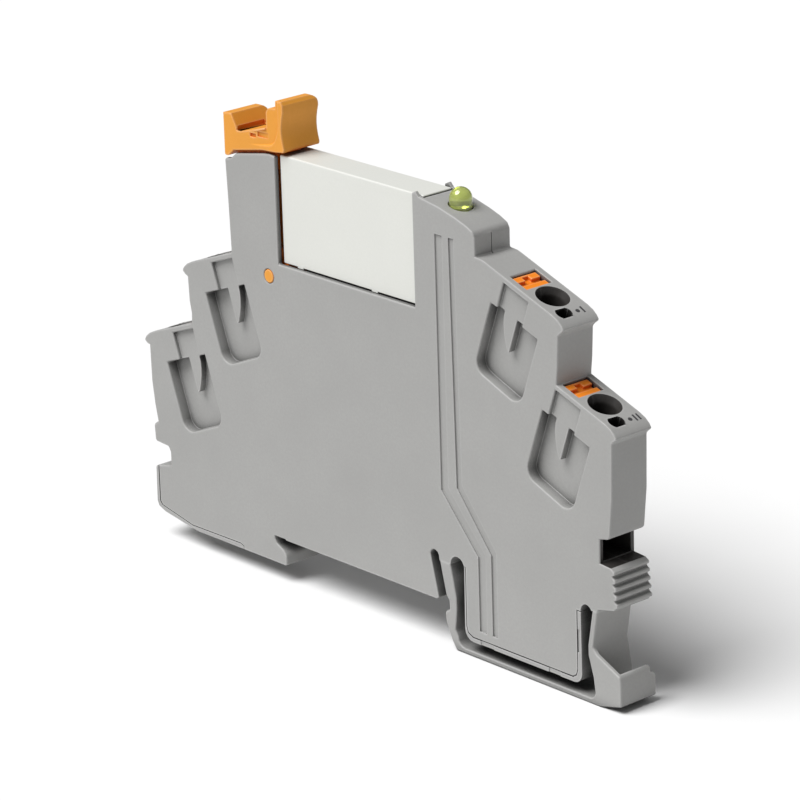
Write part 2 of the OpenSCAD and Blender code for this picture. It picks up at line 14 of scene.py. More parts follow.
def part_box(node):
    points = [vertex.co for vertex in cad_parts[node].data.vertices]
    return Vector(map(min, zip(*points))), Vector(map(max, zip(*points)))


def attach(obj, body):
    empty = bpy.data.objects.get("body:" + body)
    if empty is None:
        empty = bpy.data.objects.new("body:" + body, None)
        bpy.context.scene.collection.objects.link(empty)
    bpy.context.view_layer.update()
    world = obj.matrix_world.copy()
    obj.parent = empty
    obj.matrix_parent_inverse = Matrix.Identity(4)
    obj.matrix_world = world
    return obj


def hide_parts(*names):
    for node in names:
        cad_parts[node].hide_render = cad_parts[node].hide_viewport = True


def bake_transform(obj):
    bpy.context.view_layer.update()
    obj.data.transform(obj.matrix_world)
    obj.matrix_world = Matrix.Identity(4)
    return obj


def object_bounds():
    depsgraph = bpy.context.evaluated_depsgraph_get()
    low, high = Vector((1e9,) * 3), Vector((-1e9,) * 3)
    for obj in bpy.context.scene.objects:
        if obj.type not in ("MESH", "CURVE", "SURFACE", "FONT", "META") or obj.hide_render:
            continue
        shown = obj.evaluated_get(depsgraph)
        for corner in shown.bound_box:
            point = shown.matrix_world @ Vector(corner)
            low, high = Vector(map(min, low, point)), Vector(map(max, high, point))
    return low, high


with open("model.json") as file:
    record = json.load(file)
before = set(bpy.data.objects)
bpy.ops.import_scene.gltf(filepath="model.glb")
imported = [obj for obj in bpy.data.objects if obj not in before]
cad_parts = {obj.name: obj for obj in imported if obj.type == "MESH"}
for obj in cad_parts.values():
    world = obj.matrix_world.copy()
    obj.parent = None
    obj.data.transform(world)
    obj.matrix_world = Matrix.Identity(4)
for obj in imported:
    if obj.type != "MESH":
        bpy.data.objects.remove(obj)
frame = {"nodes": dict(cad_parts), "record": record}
cad_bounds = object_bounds()

MM = 0.001
WELD = 0.002 * MM
COPLANAR = math.radians(0.4)

# Camera, as the object is seen in its reference view
VIEW_AZIMUTH = 48.763
VIEW_ELEVATION = 19.119
VIEW_ROLL = 1.762
VIEW_AIM = Vector((5.06, 0.42, 24.03)) * MM
VIEW_DISTANCE = 561.65 * MM
VIEW_LENS = 193.99

# Frame of one terminal: entry centre on its terrace, and the side it faces
SLOPE = math.radians(19.6)
TERMINALS = {
    "13": (-29.85, 36.7, -1),
    "14": (-38.95, 24.75, -1),
    "a1": (34.8, 44.85, 1),
    "a2": (43.8, 32.85, 1),
}

HALF_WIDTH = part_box("housing_body")[1].y
ON_SIDE = HALF_WIDTH - 0.02 * MM


# ---------- mesh helpers ----------

def new_object(name, mesh):
    piece = bpy.data.objects.new(name, mesh)
    bpy.context.scene.collection.objects.link(piece)
    return piece


def mesh_from(name, points, faces):
    mesh = bpy.data.meshes.new(name)
    mesh.from_pydata([tuple(p) for p in points], [], faces)
    mesh.update()
    return mesh


def solid_from(name, points, ring):
    """A closed solid from two rings of points, in millimetres, with ring points in each."""
    faces = [tuple(range(ring)), tuple(range(2 * ring - 1, ring - 1, -1))]
    faces += [(i, i + ring, (i + 1) % ring + ring, (i + 1) % ring) for i in range(ring)]
    piece = new_object(name, mesh_from(name, [Vector(p) * MM for p in points], faces))
    outward(piece)
    return piece


def prism(name, outline, y_low, y_high):
    """A closed solid from an outline in X-Z, in millimetres, between two Y faces."""
    return solid_from(name, [(x, y, z) for y in (y_low, y_high) for x, z in outline], len(outline))


def rectangle(x_low, x_high, z_low, z_high):
    return [(x_low, z_low), (x_high, z_low), (x_high, z_high), (x_low, z_high)]


def bar_along_x(name, section, x_low, x_high):
    """A closed solid from a section in Y-Z, in millimetres, between two X stations."""
    return solid_from(name, [(x, y, z) for x in (x_low, x_high) for y, z in section], len(section))


def beside(line, reach):
    """A line in X-Z moved to its right by reach."""
    moved = []
    for i, (x, z) in enumerate(line):
        before, after = line[max(i - 1, 0)], line[min(i + 1, len(line) - 1)]
        way = Vector((after[0] - before[0], after[1] - before[1])).normalized()
        moved.append((x + way.y * reach, z - way.x * reach))
    return moved


def outward(piece):
    bm = bmesh.new()
    bm.from_mesh(piece.data)
    bmesh.ops.recalc_face_normals(bm, faces=bm.faces)
    bm.to_mesh(piece.data)
    bm.free()


def bake_modifiers(piece):
    """Turns a piece's modifiers into its mesh."""
    depsgraph = bpy.context.evaluated_depsgraph_get()
    mesh = bpy.data.meshes.new_from_object(piece.evaluated_get(depsgraph))
    piece.modifiers.clear()
    piece.data = mesh


def boolean(piece, cutter, operation="DIFFERENCE"):
    step = piece.modifiers.new("cut", "BOOLEAN")
    step.operation = operation
    step.solver = "EXACT"
    step.object = cutter
    bake_modifiers(piece)
    bpy.data.objects.remove(cutter)


def cad_copy(node, name):
    """A welded copy of a CAD node's mesh, with its flat faces whole, to be refined as a piece."""
    piece = new_object(name, frame["nodes"][node].data.copy())
    piece.data.materials.clear()
    bm = bmesh.new()
    bm.from_mesh(piece.data)
    bmesh.ops.remove_doubles(bm, verts=bm.verts, dist=WELD)
    bmesh.ops.dissolve_limit(bm, angle_limit=COPLANAR, verts=bm.verts, edges=bm.edges)
    bm.to_mesh(piece.data)
    bm.free()
    return piece


def direction(edge):
    return (edge.verts[1].co - edge.verts[0].co).normalized()


def turn_between(edge, other):
    """Angle by which a chain turns from one edge to the next one that shares a corner with it."""
    shared = [v for v in edge.verts if v in other.verts][0]
    before = (shared.co - edge.other_vert(shared).co).normalized()
    after = (other.other_vert(shared).co - shared.co).normalized()
    return before.angle(after, 0)


# Shares of a face's width and of an edge's length that rounding may take up
WIDTH_SHARE = 0.42
LENGTH_SHARE = 0.8


def room_beside(edge, rounded):
    """The largest radius at which this edge's rounding still leaves its faces and its length in order."""
    along = direction(edge)
    start = edge.verts[0].co
    room = 1.0
    for face in edge.link_faces:
        reach = max(((v.co - start) - along * (v.co - start).dot(along)).length for v in face.verts)
        room = min(room, WIDTH_SHARE * reach)
    shortening = 0.0
    for vert in edge.verts:
        turns = [0.0]
        for other in vert.link_edges:
            if other is edge:
                continue
            across = other.other_vert(vert).co - vert.co
            if abs(across.normalized().dot(along)) < 0.85:
                room = min(room, WIDTH_SHARE * across.length)
            if other in rounded:
                turns.append(math.tan(min(turn_between(edge, other), math.radians(100)) / 2))
        shortening += max(turns)
    if shortening > 0:
        room = min(room, LENGTH_SHARE * edge.calc_length() / shortening)
    return room


def even_out(radii, straight=35):
    """Gives the edges of each gently turning chain one radius, because uneven ones meet in spikes."""
    leader = {edge: edge for edge in radii}

    def find(edge):
        while leader[edge] is not edge:
            edge = leader[edge]
        return edge

    limit = math.radians(straight)
    for edge in radii:
        for vert in edge.verts:
            for other in vert.link_edges:
                if other is not edge and other in radii and turn_between(edge, other) < limit:
                    leader[find(edge)] = find(other)
    smallest = {}
    for edge, radius in radii.items():
        top = find(edge)
        smallest[top] = min(radius, smallest.get(top, radius))
    return {edge: smallest[find(edge)] for edge in radii}


def round_edges(piece, radius_of, segments=3, sharp=30):
    """Bevels a piece's edges. radius_of(edge) gives each edge's radius in metres."""
    bm = bmesh.new()
    bm.from_mesh(piece.data)
    weight = bm.edges.layers.float.new("bevel_weight_edge")
    rounded = {e for e in bm.edges if len(e.link_faces) == 2 and e.calc_face_angle(0) > math.radians(sharp)}
    radii = even_out({edge: min(radius_of(edge), room_beside(edge, rounded)) for edge in rounded})
    largest = max(radii.values())
    for edge, radius in radii.items():
        edge[weight] = radius / largest
    bm.to_mesh(piece.data)
    bm.free()
    step = piece.modifiers.new("rounding", "BEVEL")
    step.limit_method = "WEIGHT"
    step.offset_type = "OFFSET"
    step.width = largest
    step.segments = segments
    step.use_clamp_overlap = False
    bake_modifiers(piece)
    finish_shading(piece)


# Faces whose normals and offsets agree to these steps are taken as one plane
NORMAL_DIGITS = 2
PLANE_STEP = 0.02 * MM


def finish_shading(piece, angle=50):
    """Smooth shading in which every flat face keeps its own normal, however it is divided up."""
    mesh = piece.data
    for polygon in mesh.polygons:
        polygon.use_smooth = True
    planes, area = [], {}
    for polygon in mesh.polygons:
        n = polygon.normal
        key = (*(round(c, NORMAL_DIGITS) for c in n), round(n.dot(polygon.center) / PLANE_STEP))
        planes.append(key)
        area[key] = area.get(key, 0) + polygon.area
    around = [{} for _ in mesh.vertices]
    for polygon, key in zip(mesh.polygons, planes):
        for v in polygon.vertices:
            around[v][key] = polygon.normal.copy()
    limit = math.cos(math.radians(angle))
    normals = [Vector()] * len(mesh.loops)
    for polygon in mesh.polygons:
        own = polygon.normal.copy()
        for corner in polygon.loop_indices:
            near = around[mesh.loops[corner].vertex_index]
            total = sum((n * area[key] ** 1.5 for key, n in near.items() if n.dot(own) > limit), Vector())
            normals[corner] = total.normalized() if total.length > 0 else own
    mesh.normals_split_custom_set(normals)


# ---------- materials ----------

def socket(shader, name, value):
    shader.inputs[name].default_value = value


def noise(tree, coords, size, detail=2.0):
    """Noise whose features are about size metres across."""
    texture = tree.nodes.new("ShaderNodeTexNoise")
    texture.inputs["Scale"].default_value = 1 / size
    texture.inputs["Detail"].default_value = detail
    tree.links.new(coords.outputs["Object"], texture.inputs["Vector"])
    return texture.outputs["Fac"]


def ranged(tree, value, low, high, start=0.3, end=0.7):
    """Maps a texture's value from start..end to low..high."""
    node = tree.nodes.new("ShaderNodeMapRange")
    node.inputs["From Min"].default_value = start
    node.inputs["From Max"].default_value = end
    node.inputs["To Min"].default_value = low
    node.inputs["To Max"].default_value = high
    tree.links.new(value, node.inputs["Value"])
    return node.outputs["Result"]


def blended(tree, factor, colour_a, colour_b):
    node = tree.nodes.new("ShaderNodeMix")
    node.data_type = "RGBA"
    tree.links.new(factor, node.inputs["Factor"])
    for name, value in (("A", colour_a), ("B", colour_b)):
        target = [s for s in node.inputs if s.name == name and s.type == "RGBA"][0]
        if isinstance(value, bpy.types.NodeSocket):
            tree.links.new(value, target)
        else:
            target.default_value = (*value, 1)
    return [s for s in node.outputs if s.type == "RGBA"][0]


def bumped(tree, shader, layers):
    """Stacks bumps of (height texture, depth in metres) on the shader's normal."""
    normal = None
    for height, depth in layers:
        bump = tree.nodes.new("ShaderNodeBump")
        bump.inputs["Strength"].default_value = 1
        bump.inputs["Distance"].default_value = depth
        tree.links.new(height, bump.inputs["Height"])
        if normal:
            tree.links.new(normal, bump.inputs["Normal"])
        normal = bump.outputs["Normal"]
    tree.links.new(normal, shader.inputs["Normal"])


def scaled(colour, factor):
    return tuple(min(1.0, c * factor) for c in colour)


def shader_of(name):
    material = bpy.data.materials.new(name)
    material.use_nodes = True
    tree = material.node_tree
    return material, tree, tree.nodes["Principled BSDF"], tree.nodes.new("ShaderNodeTexCoord")


def openness(tree, distance, inside=False):
    """How open the space outside a surface is, or the material behind it, out to a distance."""
    node = tree.nodes.new("ShaderNodeAmbientOcclusion")
    node.samples = 6
    node.inside = inside
    node.inputs["Distance"].default_value = distance
    return node.outputs["AO"]


def combined(tree, operation, *values):
    """The result of a named operation on textures and numbers."""
    node = tree.nodes.new("ShaderNodeMath")
    node.operation = operation
    for target, value in zip(node.inputs, values):
        if isinstance(value, bpy.types.NodeSocket):
            tree.links.new(value, target)
        else:
            target.default_value = value
    return node.outputs["Value"]


def away_from(tree, coords, y):
    """0 beside the plane at y and 1 away from it."""
    parts = tree.nodes.new("ShaderNodeSeparateXYZ")
    tree.links.new(coords.outputs["Object"], parts.inputs["Vector"])
    offset = combined(tree, "SUBTRACT", parts.outputs["Y"], y)
    return ranged(tree, combined(tree, "ABSOLUTE", offset), 0, 1, 0.3 * MM, 0.45 * MM)


def moulded(name, colour, roughness, grain, mottle=0.035, edge_wear_and_highlight=0.3, specular=0.5, recess_shade=None, seam=None):
    """Moulded plastic: eroded grain, mottling, painted shade in recesses, and edges painted lighter (partly
    worn, partly painted highlight) except at a seam.
    """
    material, tree, shader, coords = shader_of(name)
    socket(shader, "Specular IOR Level", specular)
    flow = noise(tree, coords, 9 * MM, 3)
    specks = noise(tree, coords, 0.35 * MM, 3)
    body = blended(tree, ranged(tree, flow, 0, 1), scaled(colour, 1 - mottle), scaled(colour, 1 + mottle))
    speckled = blended(tree, ranged(tree, specks, 0, 0.5), body, scaled(colour, 1 - 2 * mottle))
    # Convex edges are painted lighter: partly worn, partly a painted highlight where the rounded edges catch
    # light
    edges = ranged(tree, openness(tree, 0.3 * MM, inside=True), edge_wear_and_highlight, 0, 0.5, 0.95)
    if seam is not None:
        edges = combined(tree, "MULTIPLY", edges, away_from(tree, coords, seam))
    lighter = tuple(c + (1 - c) * 0.5 for c in colour)
    # Painted shade: surfaces in recesses and between parts are darkened towards the recess colour, by default
    # the colour at five percent
    gap_shade = ranged(tree, openness(tree, 3.2 * MM), 1, 0, 0.3, 0.7)
    surface = blended(tree, gap_shade, blended(tree, edges, speckled, lighter), recess_shade or scaled(colour, 0.05))
    tree.links.new(surface, shader.inputs["Base Color"])
    tree.links.new(ranged(tree, specks, roughness - 0.07, roughness + 0.07), shader.inputs["Roughness"])
    erosion = noise(tree, coords, 0.11 * MM, 2)
    bumped(tree, shader, [(flow, 0.02 * MM), (erosion, grain)])
    return material


def metal(name, colour, roughness, along=(1, 1, 1), tarnish=0.12):
    """Rolled or plated metal: fine lines along the strip, and a little tarnish."""
    material, tree, shader, coords = shader_of(name)
    socket(shader, "Metallic", 1.0)
    mapping = tree.nodes.new("ShaderNodeMapping")
    mapping.inputs["Scale"].default_value = along
    tree.links.new(coords.outputs["Object"], mapping.inputs["Vector"])
    lines = tree.nodes.new("ShaderNodeTexNoise")
    lines.inputs["Scale"].default_value = 1 / (0.12 * MM)
    lines.inputs["Detail"].default_value = 3
    tree.links.new(mapping.outputs["Vector"], lines.inputs["Vector"])
    cloud = noise(tree, coords, 1.6 * MM, 4)
    tree.links.new(
        blended(tree, ranged(tree, cloud, 0, 1), scaled(colour, 1 - tarnish), scaled(colour, 1.05)),
        shader.inputs["Base Color"])
    dullness = ranged(tree, lines.outputs["Fac"], roughness - 0.08, roughness + 0.1)
    tree.links.new(dullness, shader.inputs["Roughness"])
    bumped(tree, shader, [(lines.outputs["Fac"], 0.004 * MM)])
    return material


def enamelled_wire():
    """Layers of fine enamelled wire, wound round the X axis."""
    material, tree, shader, coords = shader_of("enamelled_wire")
    socket(shader, "Metallic", 0.85)
    socket(shader, "Coat Weight", 0.4)
    wave = tree.nodes.new("ShaderNodeTexWave")
    wave.bands_direction = "X"
    wave.inputs["Scale"].default_value = 1 / (0.55 * MM)
    wave.inputs["Distortion"].default_value = 0.25
    tree.links.new(coords.outputs["Object"], wave.inputs["Vector"])
    tree.links.new(
        blended(tree, wave.outputs["Fac"], (0.16, 0.045, 0.012), (0.62, 0.24, 0.08)),
        shader.inputs["Base Color"])
    tree.links.new(ranged(tree, noise(tree, coords, 0.5 * MM), 0.25, 0.42), shader.inputs["Roughness"])
    bumped(tree, shader, [(wave.outputs["Fac"], 0.04 * MM)])
    return material


def solder_mask():
    """Green mask with copper tracks under it."""
    material, tree, shader, coords = shader_of("solder_mask")
    socket(shader, "Coat Weight", 0.5)
    tracks = tree.nodes.new("ShaderNodeTexVoronoi")
    tracks.distance = "MANHATTAN"
    tracks.feature = "DISTANCE_TO_EDGE"
    tracks.inputs["Scale"].default_value = 1 / (4.2 * MM)
    tree.links.new(coords.outputs["Object"], tracks.inputs["Vector"])
    lines = ranged(tree, tracks.outputs["Distance"], 1, 0, 0.05, 0.09)
    tree.links.new(
        blended(tree, lines, (0.012, 0.085, 0.035), (0.03, 0.17, 0.06)),
        shader.inputs["Base Color"])
    tree.links.new(ranged(tree, noise(tree, coords, 0.6 * MM), 0.25, 0.4), shader.inputs["Roughness"])
    bumped(tree, shader, [(lines, 0.03 * MM)])
    return material


def tinted_lens():
    """Tinted, slightly hazy epoxy of the lamp."""
    material, tree, shader, coords = shader_of("tinted_lens")
    socket(shader, "Transmission Weight", 0.75)
    socket(shader, "IOR", 1.45)
    socket(shader, "Coat Weight", 0.6)
    haze = noise(tree, coords, 0.9 * MM, 3)
    tree.links.new(
        blended(tree, ranged(tree, haze, 0, 1), (0.76, 0.88, 0.22), (0.82, 0.91, 0.29)),
        shader.inputs["Base Color"])
    tree.links.new(ranged(tree, haze, 0.05, 0.14), shader.inputs["Roughness"])
    bumped(tree, shader, [(haze, 0.006 * MM)])
    return material


# The plane where the two halves of the housing meet
SEAM_Y = -0.1 * MM

GREY = (0.32, 0.318, 0.31)
WHITE = (0.635, 0.64, 0.603)
ORANGE = (0.715, 0.3, 0.037)
BUTTON_ORANGE = (0.83, 0.235, 0.012)
# Painted shade colour for the recesses of the orange parts
PAINTED_SHADE_ORANGE = (0.70, 0.14, 0.008)

# The recess colours given below are painted shade
MATERIALS = {
    "housing_grey": moulded("housing_grey", GREY, 0.52, 0.012 * MM, seam=SEAM_Y),
    "lever_orange": moulded(
        "lever_orange", ORANGE, 0.5, 0.006 * MM, mottle=0.03, specular=0.25, recess_shade=PAINTED_SHADE_ORANGE),
    "button_orange": moulded(
        "button_orange", BUTTON_ORANGE, 0.45, 0.005 * MM, mottle=0.03, specular=0.3, recess_shade=PAINTED_SHADE_ORANGE),
    "relay_white": moulded(
        "relay_white", WHITE, 0.46, 0.006 * MM, mottle=0.015, edge_wear_and_highlight=0.4, recess_shade=(0.12, 0.12, 0.11)),
    "relay_base": moulded("relay_base", (0.035, 0.035, 0.04), 0.5, 0.006 * MM),
    "bobbin": moulded("bobbin", (0.05, 0.05, 0.056), 0.48, 0.006 * MM),
    "card": moulded("card", (0.68, 0.67, 0.58), 0.45, 0.006 * MM),
    "component_black": moulded("component_black", (0.018, 0.018, 0.02), 0.5, 0.01 * MM),
    "capacitor_sleeve": moulded("capacitor_sleeve", (0.02, 0.03, 0.09), 0.25, 0.002 * MM),
    "spring_steel": metal("spring_steel", (0.60, 0.60, 0.62), 0.28, (0.1, 1, 1)),
    "tinned_copper": metal("tinned_copper", (0.66, 0.58, 0.47), 0.34, (0.15, 1, 0.15)),
    "contact_alloy": metal("contact_alloy", (0.74, 0.45, 0.2), 0.27, (1, 1, 0.1)),
    "pin": metal("pin", (0.72, 0.69, 0.62), 0.3, (1, 1, 0.1)),
    "magnet_iron": metal("magnet_iron", (0.40, 0.41, 0.43), 0.4, (0.1, 1, 1)),
    "winding": enamelled_wire(),
    "board": solder_mask(),
    "lamp_lens": tinted_lens(),
    "ink": moulded("ink", (0.02, 0.02, 0.022), 0.55, 0.003 * MM, edge_wear_and_highlight=0.05),
    # Near-black painted shade for the insides of the openings
    "painted_hollow_shade": moulded("painted_hollow_shade", (0.028, 0.025, 0.023), 0.5, 0.006 * MM, edge_wear_and_highlight=0.1),
    "lamp_cup": metal("lamp_cup", (0.86, 0.88, 0.45), 0.3),
}


def dress(piece, slot, material=None):
    """Gives a piece its slot's material, or another one that looks different there."""
    piece.data.materials.clear()
    piece.data.materials.append(MATERIALS[material or slot])


# ---------- mouldings ----------

def face_normals(edge):
    return [f.normal for f in edge.link_faces]


def on_side_face(edge):
    return all(abs(v.co.y) > ON_SIDE for v in edge.verts)


# Roundings of the housing: its side faces' rims, those that face up, edges across its width,
# the thin wall behind the relay, and the rest
RIM_RADIUS = 0.2 * MM
TOP_RIM_RADIUS = 0.45 * MM
CROSS_RADIUS = 0.3 * MM
THIN_WALL_RADIUS = 0.06 * MM
SMALL_RADIUS = 0.1 * MM
# The cover's setback from the seam
SEAM_GAP = 0.05 * MM
# Joints between the two halves along the housing's foot, in X-Z
RIM_LINES = (
    [(-43.4, 4.1), (-42.25, 4.05), (-42.25, -1.2), (-41.9, -1.7),
     (-35.2, -3.05), (-24.8, -2.95), (-24.2, -3.2), (-24.2, -4.2)],
    [(19.5, 5.9), (20.8, 5.9), (20.8, -2.2), (21.1, -3.1), (21.95, -3.5),
     (40.5, -3.5), (41.15, -3.1), (41.4, -2.3), (41.4, 5.75), (43.2, 5.75)])
# Where the foot grows out of the housing: X from, X to and Z
FOOT_SEAMS = ((15.7 * MM, 18.05 * MM, 5.55 * MM), (44.0 * MM, 45.1 * MM, 6.45 * MM))


def in_foot_seam(point):
    return any(low < point.x < high and abs(point.z - z) < 0.06 * MM for low, high, z in FOOT_SEAMS)


def at_seam(point):
    return abs(point.y - SEAM_Y) < 0.15 * MM


def behind_relay(point):
    """Is a point on the lamp tower's thin wall at the relay's end?"""
    return 11 * MM < point.x < 15 * MM and point.z > 50 * MM


def housing_radius(edge):
    """Soft rims on the terraces and towers, small radii elsewhere, none where mouldings meet flush."""
    ends = [v.co for v in edge.verts]
    if all(map(at_seam, ends)) or all(map(in_foot_seam, ends)):
        return 0
    if all(map(behind_relay, ends)):
        return THIN_WALL_RADIUS
    if on_side_face(edge):
        faces_up = max(n.z for n in face_normals(edge)) > 0.5
        return TOP_RIM_RADIUS if faces_up else RIM_RADIUS
    return CROSS_RADIUS if abs(direction(edge).y) > 0.99 else SMALL_RADIUS


def steady(radius):
    """The same radius for every edge, as round_edges asks for it."""
    return lambda edge: radius


def replace_node(node, body, slot, radius_of, change=None):
    """Puts a refined moulding in a CAD node's place, after an optional change to its shape."""
    piece = cad_copy(node, node + "_moulding")
    if change:
        change(piece)
    round_edges(piece, radius_of)
    dress(piece, slot)
    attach(piece, body)
    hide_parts(node)
    return piece


# Openings that look black from outside, whose insides are painted near-black as shade, in millimetres
HOLLOW_DEPTH = (0.15, 4.4)
ENTRY_REACH = 2.3
TEST_HOLE = (3.4, -1.15)
TEST_HOLE_REACH = (1, 1.3)
WINDOW_X = (38, 48.6)
WINDOW_Z = (13, 16.4)
WINDOW_REACH = 2.5


def in_opening(place):
    """Is a place, in millimetres, in a terminal's entry or test hole, or in the window over the grip?"""
    for x, z, side in TERMINALS.values():
        across, up = side * (place.x - x), place.z - z
        s = across * math.cos(SLOPE) - up * math.sin(SLOPE)
        depth = -across * math.sin(SLOPE) - up * math.cos(SLOPE)
        in_entry = math.hypot(s, place.y) < ENTRY_REACH
        in_test_hole = (abs(s - TEST_HOLE[0]) < TEST_HOLE_REACH[0]
                        and abs(place.y - TEST_HOLE[1]) < TEST_HOLE_REACH[1])
        if HOLLOW_DEPTH[0] < depth < HOLLOW_DEPTH[1] and (in_entry or in_test_hole):
            return True
    in_window = WINDOW_X[0] < place.x < WINDOW_X[1] and WINDOW_Z[0] < place.z < WINDOW_Z[1]
    return in_window and abs(place.y) < WINDOW_REACH


def paint_opening_shade(piece):
    """Paints the insides of the openings near-black, as painted shade."""
    piece.data.materials.append(MATERIALS["painted_hollow_shade"])
    for polygon in piece.data.polygons:
        if in_opening(polygon.center / MM):
            polygon.material_index = 1


def close_seam(piece):
    """Brings the cover flush with the body, and leaves the seam open as a fine groove on the lamp tower."""
    for vert in piece.data.vertices:
        if abs(vert.co.y - (SEAM_Y - SEAM_GAP)) < 0.01 * MM:
            vert.co.y = SEAM_Y
    joint_lines(piece)
    boolean(piece, prism("seam_groove", [(23.85, 48), (24.4, 48), (24.4, 51.2), (23.85, 50.9)], -0.19, -0.07))


# Half the width of a joint line, how far its segments run past their ends, and the floor of the groove
JOINT_HALF = 0.06
JOINT_OVERLAP = 0.05
JOINT_FLOOR = -2.85
# A cutter's outer face, clear of the near side
OUTSIDE = -3.5


def joint_lines(piece):
    """Opens the joint between the two halves to a fine groove along the housing's foot."""
    for line in RIM_LINES:
        for a, b in zip(line, line[1:]):
            way = Vector((b[0] - a[0], b[1] - a[1])).normalized() * JOINT_OVERLAP
            over = [(a[0] - way.x, a[1] - way.y), (b[0] + way.x, b[1] + way.y)]
            outline = beside(over, JOINT_HALF) + beside(over, -JOINT_HALF)[::-1]
            boolean(piece, prism("joint", outline, OUTSIDE, JOINT_FLOOR))


def clip_windows(piece):
    """Shallow windows of the snap joints along the housing's foot."""
    joint_lines(piece)
    for sides in ((23.4, 25.9, -4.35, -3.5), (36.1, 38.2, -4.35, -3.5), (41.4, 41.9, 0.1, 3.2)):
        boolean(piece, prism("clip_window", rectangle(*sides), OUTSIDE, -2.98))


def lever_radius(edge):
    """The grip's long outer edges are softer than its details."""
    return (0.35 if edge.calc_length() > 4 * MM else 0.14) * MM


def round_far_top(piece, x_low, x_high, top, radius, far=3.1):
    """Rounds the top edge on the far side of one of the lever's blocks."""
    arc = [(far - radius + radius * math.sin(a), top - radius + radius * math.cos(a))
           for a in [math.radians(10 * i) for i in range(10)]]
    corner = [(far + 1, top - radius), (far + 1, top + 1), (far - radius, top + 1)]
    boolean(piece, bar_along_x("rounding", arc + corner, x_low, x_high))


def shape_lever(piece):
    """The grip's grooves and recess, as moulded into its thumb end."""
    round_far_top(piece, -16.2, -11.8, 61.6, 1.3)
    round_far_top(piece, -25, -21.9, 58.25, 1.0)
    boolean(piece, prism("foot_groove", rectangle(-22.15, -21.3, 55.8, 56.6), -2.8, 1.8))
    for sides in ((-19.2, -18.1, 55.8, 56.32), (-17.75, -15.75, 56.05, 56.72)):
        boolean(piece, prism("pit", rectangle(*sides), OUTSIDE, -2.75))
    # The recess deepens towards its rim, which goes a quarter turn up the thumb end
    rim = [(-19.3, 54.55), (-17, 54.9), (-15.4, 55.2), (-14.75, 55.5), (-14.3, 55.95),
           (-13.95, 56.6), (-13.6, 57.4), (-13.45, 58.2), (-13.5, 62)]
    rings = []
    for reach, face, deepening in ((0.2, -3.4, 0), (-0.15, -3.14, 0.09)):
        points = beside(rim, reach) + [(-16.1, 62), (-16.1, 57.3), (-19.3, 56.3)]
        rings += [(x, face + deepening * (x - rim[0][0]), z) for x, z in points]
    boolean(piece, solid_from("recess", rings, len(rings) // 2))
    # A sloping web joins the two blocks of the grip below its recess
    web = [(-23.1, 53.1), (-22.6, 51.8), (-15, 51.8), (-15, 54.9), (-16.9, 54.9), (-22.85, 53.6)]
    boolean(piece, prism("web", web, -2.2, 2.2), "UNION")


for node, change in (("housing_body", clip_windows), ("housing_cover", close_seam)):
    paint_opening_shade(replace_node(node, "housing", "housing_grey", housing_radius, change))
replace_node("ejector_lever", "lever", "lever_orange", lever_radius, shape_lever)
replace_node("relay_case", "relay", "relay_white", steady(0.22 * MM))
for key in TERMINALS:
    replace_node("button_" + key, "button_" + key, "button_orange", steady(0.12 * MM))

foot = cad_copy("foot_latch", "foot_moulding")
for vert in foot.data.vertices:
    if in_foot_seam(vert.co):
        vert.co.z += SEAM_GAP
round_edges(foot, housing_radius)
dress(foot, "housing_grey")
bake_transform(foot)
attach(foot, "foot")
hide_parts("foot_latch")


# ---------- lamp ----------

LAMP_X = 18.3
LENS_RADIUS = 1.5
DOME_CENTRE = 54.2


def lathe(name, profile, centre_x, steps=96):
    """A closed solid turned round a vertical axis from (radius, height) points that start and end on it."""
    rings = profile[1:-1]
    points = [(centre_x, 0, profile[0][1])]
    points += [(centre_x + r * math.cos(math.tau * i / steps), r * math.sin(math.tau * i / steps), z)
               for r, z in rings for i in range(steps)]
    points.append((centre_x, 0, profile[-1][1]))
    last = len(points) - 1
    faces = [(0, 1 + (i + 1) % steps, 1 + i) for i in range(steps)]
    for k in range(len(rings) - 1):
        low, high = 1 + k * steps, 1 + (k + 1) * steps
        faces += [(low + i, low + (i + 1) % steps, high + (i + 1) % steps, high + i) for i in range(steps)]
    top = last - steps
    faces += [(last, top + i, top + (i + 1) % steps) for i in range(steps)]
    piece = new_object(name, mesh_from(name, [Vector(p) * MM for p in points], faces))
    outward(piece)
    return piece


flange = [(0, 50.2), (1.7, 50.2), (1.75, 50.25), (1.75, 51), (1.7, 51.05), (LENS_RADIUS, 51.05)]
dome = [(LENS_RADIUS * math.cos(a), DOME_CENTRE + LENS_RADIUS * math.sin(a))
        for a in [math.radians(3 * i) for i in range(30)]]
lens = lathe("lamp_lens_moulding",
             flange + [(LENS_RADIUS, 52.6)] + dome + [(0, DOME_CENTRE + LENS_RADIUS)], LAMP_X)
finish_shading(lens)
dress(lens, "lamp_lens")
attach(lens, "housing")
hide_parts("status_lamp")

cup = lathe(
    "lamp_reflector_cup",
    [(0, 51.4), (0.55, 51.4), (0.6, 52.3), (0.95, 53.05), (0.9, 53.1), (0.4, 52.7), (0, 52.65)],
    LAMP_X)
finish_shading(cup)
dress(cup, "lamp_lens", "lamp_cup")
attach(cup, "housing")


# ---------- terminal marks ----------

# Terrace surface from its entry centre to its lip: distance down the slope, and height
LIP = ((0, 0), (3.2, 0), (4.3, -0.12), (5.1, -0.42))


def surface_height(s):
    """A terrace's height at a distance down its slope."""
    for (s_low, low), (s_high, high) in zip(LIP, LIP[1:]):
        if s <= s_high:
            return low + (high - low) * (s - s_low) / (s_high - s_low)
    return 0


